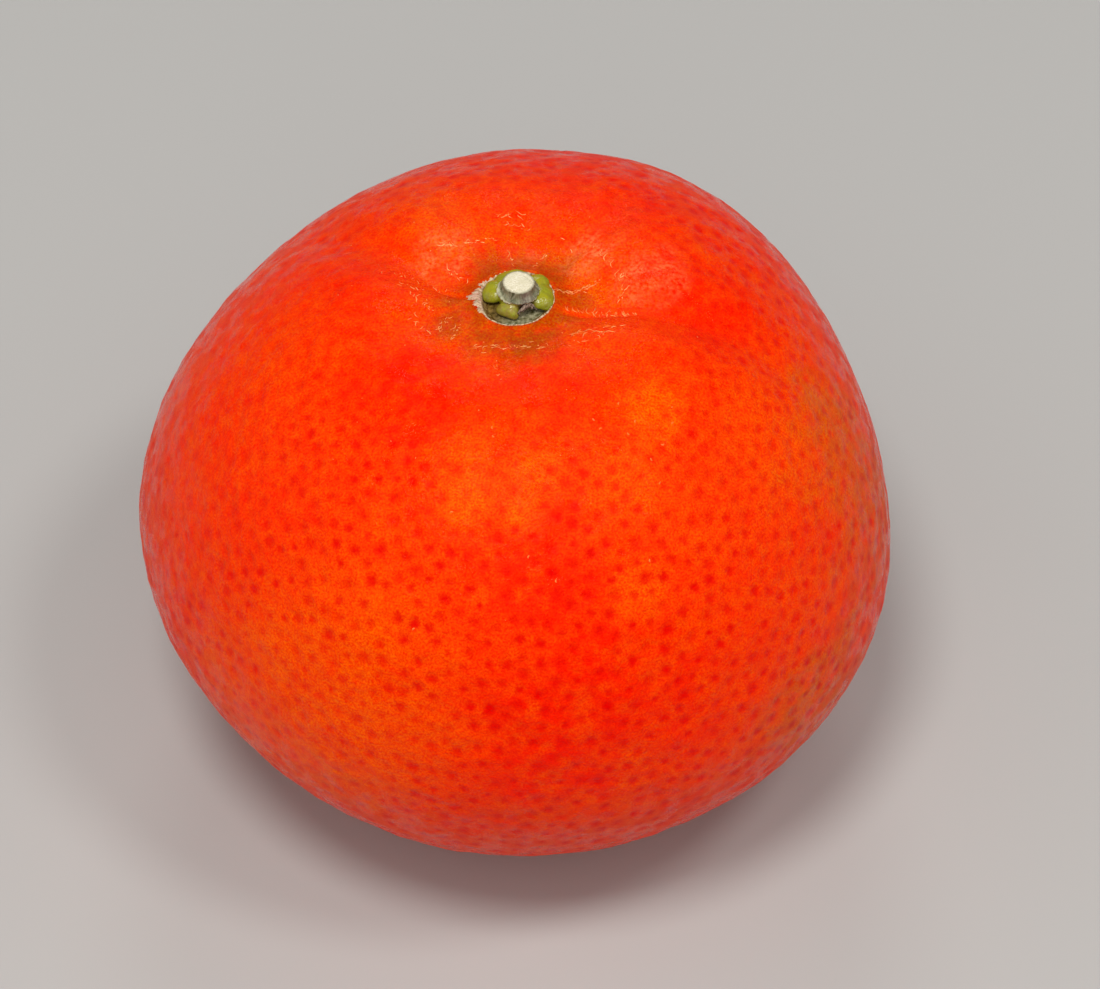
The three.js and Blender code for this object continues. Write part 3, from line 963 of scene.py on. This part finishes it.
def waxy_sepal():
    """Living sepal, olive green under a thin wax. It gives small clear glints, a yellower crest and
    darker flanks (partly painted light on top and painted shade lower down), one lobe going tan, a
    browner disc below that is grey and damp at one side (its browner side partly painted shade of the
    cavity), and a brown dry edge where it is torn, which also runs along the undersides as painted
    shade."""
    material = bare_material("waxy_sepal")
    # Dark flanks to yellow crests by height: sepal tone with painted light and shade
    colour = blended(material, "#74700a", "#a69e1c", "crest")
    patches = mottling(material, 0.8, 0.35, 0.65, 4)
    colour = blended(material, colour, "#86901a", times(material, patches, 0.6))
    tan = times(material, "tanned", mottling(material, 0.3, 0.3, 0.62, 4))
    colour = blended(material, colour, "#8c7434", times(material, tan, 0.8))
    specks = mottling(material, 0.13, 0.6, 0.7)
    colour = blended(material, colour, "#7a5a20", times(material, specks, 0.5))
    # The disc is darker brown away from the damp side, partly painted shade of the left cavity
    pale = mottling(material, 0.35, 0.35, 0.75, 4)
    dry = blended(material, "#46360c", "#9c7e40", pale)
    damp = blended(material, "#54522c", "#c0b894", pale)
    disc = blended(material, dry, damp, "damp")
    colour = blended(material, colour, disc, "disc")
    # Brown at the tear, and on the undersides partly painted shade
    colour = blended(material, colour, "#4e3022", "dried")
    grain = bumped(material, mottling(material, 0.2, 0.3, 0.7, 3), 0.4, 0.03)
    gloss = add(material, "MapRange", {"Value": reading(material, "dried")},
                To_Min=0.22, To_Max=0.75).outputs["Result"]
    return finished(material, colour, grain, gloss, 1.46)


def torn_sepal():
    """The stump of the torn sepal: a ragged arched lip under the stub's foot that ends low at one side,
    with short dry fibres that hang from it."""
    draw = np.random.default_rng(31)
    lip, points = ball(96, 24)
    course, out, up = points[:, 0].copy(), points[:, 1].copy(), points[:, 2].copy()
    ragged = lumps(np.stack([course * 0.9, 0.25 * out, 0.25 * up], axis=1), 0.11, 71)
    turn = TORN_AZIMUTH + TEAR_REACH * course
    away = TEAR_RADIUS + 0.22 * course ** 2 + 0.13 * out + 0.05 * ragged
    points[:, 0], points[:, 1] = swung(away, 0, turn)
    points[:, 2] = tear_height(course) + 0.15 * up * (1 + 0.7 * ragged) - 0.12 * out
    put_places(lip.data, points)
    # Paler on top and darker underneath: the torn edge's bleaching, with painted light above and
    # painted shade below
    name_values(lip.data, "bleached", np.clip(0.3 + 0.6 * up + 0.4 * ragged, 0, 1))
    smooth(lip.data)

    scraps = [lip]
    for _ in range(TEAR_FIBRES):
        scrap, points = ball(12, 6)
        course = draw.uniform(-0.85, 0.85)
        length = draw.uniform(0.12, 0.3)
        share = (1 + points[:, 0]) / 2
        across = points[:, 1] * draw.uniform(0.03, 0.06)
        turn = TORN_AZIMUTH + TEAR_REACH * course
        along = TEAR_RADIUS + 0.06 + 0.22 * course ** 2 + share * length * 0.7
        points[:, 0], points[:, 1] = swung(along, across, turn)
        points[:, 2] = tear_height(course) - 0.05 + points[:, 2] * 0.025 - length * share ** 1.5
        put_places(scrap.data, points)
        name_values(scrap.data, "bleached", np.full(len(points), draw.uniform(0.2, 0.9)))
        smooth(scrap.data)
        scraps.append(scrap)
    stump = joined("torn_sepal", scraps)
    set_on_core(stump, SOCKET_FLOOR, CALYX_ASIDE)
    stump.data.materials.append(dead_tissue())
    return stump


def tear_height(course):
    """Height of the torn edge over the socket's floor, from its left end (-1) to its right (1)."""
    return 1.68 - (0.7 + 0.25 * course) * course ** 2


def dead_tissue():
    """Dead sepal tissue, dried brown. It is matt, and bleached to a pale tan along its torn edge; the
    lip is paler on top and darker below, partly painted light and shade.
    """
    material = bare_material("dried_sepal")
    spots = mottling(material, 0.2, 0.3, 0.6, 4)
    # Pale tan to dark brown: bleaching, and on the lip painted light on top and painted shade below
    bleached = times(material, "bleached", spots)
    colour = blended(material, "#3c2414", "#b8a08c", bleached)
    grain = bumped(material, mottling(material, 0.08, 0.3, 0.7), 0.5, 0.03)
    return finished(material, colour, grain, 0.7, 1.45, 0.3)


# The stub of the stalk


def stem_stub():
    """The stub: rings extruded from a foot that spreads over the calyx up to the cut. It is ribbed
    along its side, with a ragged collar of dry skin round the foot, and a fibrous cut face with a step
    at one side."""
    height = (STUB_HIGH.z - STUB_FOOT - CALYX_ASIDE.z) / MM
    side = [(1.5, 0.2), (1.68, 0.3)]
    for i in range(STUB_RINGS + 1):
        share = i / STUB_RINGS
        radius = STUB_RADIUS + STUB_TAPER * (1 - share) + FOOT_FLARE * hill(share, 0.3)
        side.append((radius, FOOT_HEIGHT + share * (height - FOOT_HEIGHT - CUT_DROP)))
    cut = [(STUB_RADIUS, height - 0.06), (CUT_RADIUS, height - 0.025)]
    cut += [(CUT_RADIUS * (1 - i / CUT_RINGS), height - 0.02) for i in range(1, CUT_RINGS)]
    stub = turned(side + cut, STUB_SIDES)
    stub.name = stub.data.name = "stem_stub"
    mesh = stub.data
    smooth(mesh)
    points = places(mesh)
    away, azimuth = round_axis(points)
    face = step(points[:, 2], height - 0.09, height - 0.03)
    wide = 0.16 * hill(turn_from(azimuth, COLLAR_AZIMUTH), 0.8)
    foot = 1 - step(points[:, 2], FOOT_HEIGHT + wide, FOOT_HEIGHT + 0.08 + 1.5 * wide)
    ribs = round_lumps(azimuth, points[:, 2], 0.2, 2.5, 51)
    shreds = round_lumps(azimuth, points[:, 2], 0.15, 0.5, 52)
    swell = 0.07 * ribs * (1 - face) + foot * 0.07 * shreds
    swell -= 0.16 * foot * hill(turn_from(azimuth, BARE_AZIMUTH), 0.7)
    points[:, :2] += np.stack(swung(swell * np.minimum(away, 1), 0, azimuth), axis=1)
    step_side = points[:, 0] * math.cos(STEP_AZIMUTH) + points[:, 1] * math.sin(STEP_AZIMUTH)
    notch = step(step_side + 0.12 * lumps(points, 0.5, 53), 0.72, 0.86)
    fibres = lumps(points, 0.16, 54)
    points[:, 2] += face * (0.02 * fibres + 0.02 * (1 - away) - 0.07 * notch)
    points[:, 2] = np.minimum(points[:, 2], height)
    points[:, 0] += 0.1 + 0.04 * step(points[:, 2], 0.4, height)
    points[:, 1] += 0.05 * step(points[:, 2], 0.4, height)
    put_places(mesh, points)
    name_values(mesh, "cut", face * (1 - step(away + 0.05 * shreds, 1.1, 1.2)))
    name_values(mesh, "ring", face * step(away + 0.04 * shreds, 1.08, 1.18))
    name_values(mesh, "collar", np.clip(foot * (0.8 + 0.6 * shreds), 0, 1))
    name_values(mesh, "rib", np.clip(0.5 + 1.2 * ribs, 0, 1))
    stripes = round_lumps(azimuth, points[:, 2], 0.1, 0.8, 55)
    stripes += 0.8 * round_lumps(azimuth, away, 0.45, 1, 56)
    name_values(mesh, "stripe", step(stripes, 0.0, 0.8))
    name_values(mesh, "bruised", hill(turn_from(azimuth, BRUISE_AZIMUTH), 0.4) * (1 - face))
    mesh.materials.append(young_bark())
    set_on_core(stub, STUB_FOOT, CALYX_ASIDE)
    return stub


def young_bark():
    """Young citrus bark, green to grey with fine ribs, clipped through. It gives pale ridges on a grey
    green side, a whitish dry collar, and a cream cut face with fine pores inside a greyer ring."""
    material = bare_material("clipped_young_stalk")
    here = add(material, "TexCoord").outputs["Object"]
    drawn_out = add(material, "Mapping", {"Vector": here}, Scale=(1, 1, 0.12)).outputs["Vector"]
    lines = add(material, "TexNoise", {"Vector": drawn_out}, Scale=1 / (0.1 * MM), Detail=3)
    lines = add(material, "MapRange", {"Value": lines.outputs["Fac"]}, From_Min=0.42,
                From_Max=0.62).outputs["Result"]
    colour = blended(material, "#46482c", "#787a58", "rib")
    bruise = times(material, "bruised", 0.7)
    colour = blended(material, colour, "#6c5a5a", bruise)
    colour = blended(material, colour, "#aaa68a", times(material, lines, 0.3))
    stripe = times(material, "stripe", mottling(material, 0.35, 0.3, 0.6))
    colour = blended(material, colour, "#a8a488", times(material, stripe, 0.6))
    brown = times(material, mottling(material, 0.9, 0.5, 0.62), 0.5)
    colour = blended(material, colour, "#4e3a2c", brown)
    colour = blended(material, colour, "#c4c4a0", "collar")
    colour = blended(material, colour, "#a39b80", "ring")
    pores = mottling(material, 0.11, 0.3, 0.6, 2)
    wood = blended(material, "#cfc19b", "#efe6cd", pores)
    damp = times(material, mottling(material, 0.8, 0.4, 0.6), 0.7)
    wood = blended(material, wood, "#d9cfae", damp)
    colour = blended(material, colour, wood, "cut")
    grain = bumped(material, lines, 0.35, 0.05)
    grain = bumped(material, pores, 0.3, 0.03, grain)
    return finished(material, colour, grain, 0.6, 1.45, 0.35)


# The scar of the flower's style, underneath


def style_scar():
    """The corky button in the dimple underneath, where the flower's style fell off."""
    button, points = ball(64, 32)
    button.name = button.data.name = "style_scar"
    mesh = button.data
    away, azimuth = round_axis(points)
    edge = 1 + 0.14 * round_lumps(azimuth, away, 0.3, 4, 61)
    rough = 0.07 * lumps(points, 0.3, 62)
    hollow = 0.12 * hill(away, 0.3) * np.sign(points[:, 2])
    points[:, 2] = points[:, 2] * 0.3 + rough - hollow
    points[:, :2] *= (STYLE_SCAR_RADIUS * edge)[:, None]
    put_places(mesh, points)
    smooth(mesh)
    mesh.materials.append(scar_cork())
    set_on_core(button, STYLE_SCAR_HEIGHT)
    return button


def scar_cork():
    """Old cork, brown and matt, paler where it is worn."""
    material = bare_material("old_cork")
    colour = blended(material, "#4a3018", "#a27c4c", mottling(material, 0.35, 0.35, 0.65, 4))
    grain = bumped(material, mottling(material, 0.15, 0.3, 0.7, 4), 0.5, 0.05)
    return finished(material, colour, grain, 0.8, 1.45, 0.3)


# The studio


def studio():
    """A plain pale floor, soft lights, and pale surroundings."""
    bpy.ops.mesh.primitive_plane_add(size=FLOOR_SIZE)
    floor = bpy.context.object
    floor.name = "floor"
    material = bare_material("matt_pale_card")
    card = add(material, "BsdfPrincipled", Roughness=0.9, Specular_IOR_Level=0.2)
    card.inputs["Base Color"].default_value = linear("#b6b4b0")
    add(material, "OutputMaterial", {"Surface": card.outputs["BSDF"]})
    floor.data.materials.append(material)

    for name, course in LIGHTS.items():
        soft_light(name, *course)

    world = bpy.data.worlds.new("studio")
    bpy.context.scene.world = world
    world.use_nodes = True
    room = world.node_tree.nodes["Background"]
    room.inputs["Color"].default_value = linear("#f2f2f4")
    room.inputs["Strength"].default_value = ROOM_GLOW


def soft_light(name, azimuth, elevation, spread, radiance):
    """A round light that is seen from the fruit in a direction, so many degrees from its middle to its
    edge, and as bright as given, where 1 is white card in the sun of this studio."""
    lamp = bpy.data.lights.new(name, "AREA")
    lamp.shape = "DISK"
    radius = LIGHT_DISTANCE * math.tan(math.radians(spread))
    lamp.size = 2 * radius
    lamp.energy = radiance * math.pi * math.pi * radius ** 2
    holder = bpy.data.objects.new(name, lamp)
    holder.location = MIDDLE + Vector(towards(azimuth, 90 - elevation)) * LIGHT_DISTANCE
    holder.rotation_mode = "QUATERNION"
    holder.rotation_quaternion = (MIDDLE - holder.location).to_track_quat("-Z", "Y")
    bpy.context.collection.objects.link(holder)


def photograph_camera():
    """The camera, where the photograph was taken from."""
    camera = bpy.data.cameras.new("camera")
    camera.lens = LENS
    holder = bpy.data.objects.new("camera", camera)
    bpy.context.collection.objects.link(holder)
    back = Vector((0, -math.cos(ELEVATION), math.sin(ELEVATION)))
    up = Vector((0, math.sin(ELEVATION), math.cos(ELEVATION)))
    aim = MIDDLE + Vector((AIM_RIGHT, 0, 0)) + up * AIM_UP
    holder.location = MIDDLE + back * DISTANCE
    holder.rotation_mode = "QUATERNION"
    holder.rotation_quaternion = (aim - holder.location).to_track_quat("-Z", "Y")
    bpy.context.scene.camera = holder
    bpy.context.scene.view_settings.view_transform = "Standard"


photograph_camera()
studio()

skin = peel()
surface = BVHTree.FromObject(skin, bpy.context.evaluated_depsgraph_get())
dress(skin, "fruit")
dress(socket_rim(surface))
dress(scars_and_glint_flecks(surface))
dress(calyx(), "calyx")
dress(torn_sepal())
dress(stem_stub(), "stem_stub")
dress(style_scar())
